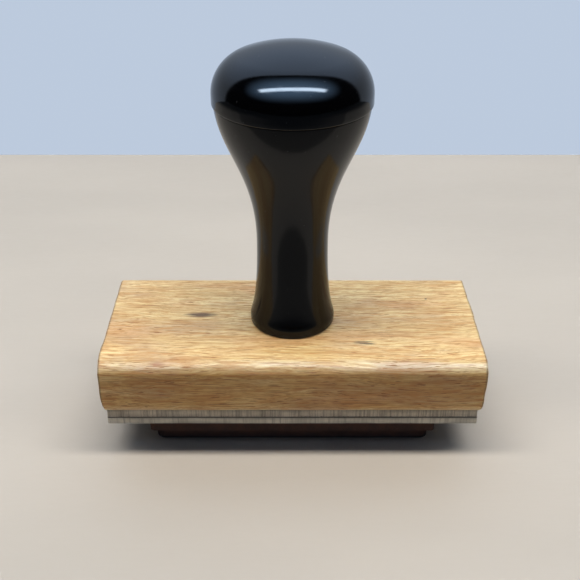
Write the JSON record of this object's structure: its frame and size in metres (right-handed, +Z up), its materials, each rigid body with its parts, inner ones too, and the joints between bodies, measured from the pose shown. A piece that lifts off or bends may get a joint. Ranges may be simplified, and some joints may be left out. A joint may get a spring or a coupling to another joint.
{
  "type": "rubber stamp",
  "caption": "Wood-mounted rubber stamp: a hardwood block with foam cushion, backing sheet and rubber die, under a waisted hollow handle with a domed cap.",
  "frame": {"origin": "centre of the printing face, which is the underside of the whole stamp", "axes": "+Z up along the handle, +X along the length of the wooden block, +Y across it, away from the pictured front"},
  "size_m": [0.08, 0.037, 0.0838],
  "materials": {
    "hardwood": "satin varnish over open-pored pale hardwood",
    "glue_film": "thin dull adhesive film",
    "foam": "knife-cut grey foam rubber",
    "backing": "knife-cut firm grey sheet",
    "die_rubber": "smooth dark moulded rubber",
    "body_plastic": "polished black moulded plastic",
    "cap_plastic": "polished black moulded plastic",
    "plated_steel": "bright zinc plating"
  },
  "bodies": {
    "mount": {"wood_mount": "hardwood", "mount_adhesive_film": "glue_film", "foam_cushion": "foam"},
    "print_pad": {"laminate_adhesive": "glue_film", "backing_sheet": "backing", "die_adhesive_film": "glue_film", "rubber_die": "die_rubber"},
    "handle": {"handle_body": "body_plastic"},
    "cap": {"handle_cap": "cap_plastic"},
    "washer": {"screw_washer": "plated_steel"},
    "screw": {"handle_screw": "plated_steel"}
  },
  "joints": [
    {"name": "cushion_press", "type": "slide", "parent": "mount", "child": "print_pad", "axis": [0, 0, 1], "range_m": [0, 0.0006], "stiffness_N_per_m": 20000, "deforming": ["foam_cushion"]},
    {"name": "handle_turn", "type": "hinge", "parent": "mount", "child": "handle", "pos_m": [0, 0, 0.0237], "axis": [0, 0, 1], "continuous": true},
    {"name": "cap_lift", "type": "slide", "parent": "handle", "child": "cap", "axis": [0, 0, 1], "range_m": [0, 0.025]},
    {"name": "screw_rise", "type": "slide", "parent": "mount", "child": "washer", "axis": [0, 0, 1], "range_m": [0, 0.015]},
    {"name": "screw_turn", "type": "hinge", "parent": "washer", "child": "screw", "pos_m": [0, 0, 0.0237], "axis": [0, 0, 1], "range_deg": [0, 1950]}
  ],
  "couplings": [
    {"joint": "screw_turn", "follows": "screw_rise", "rad_per_m": 2244}
  ]
}
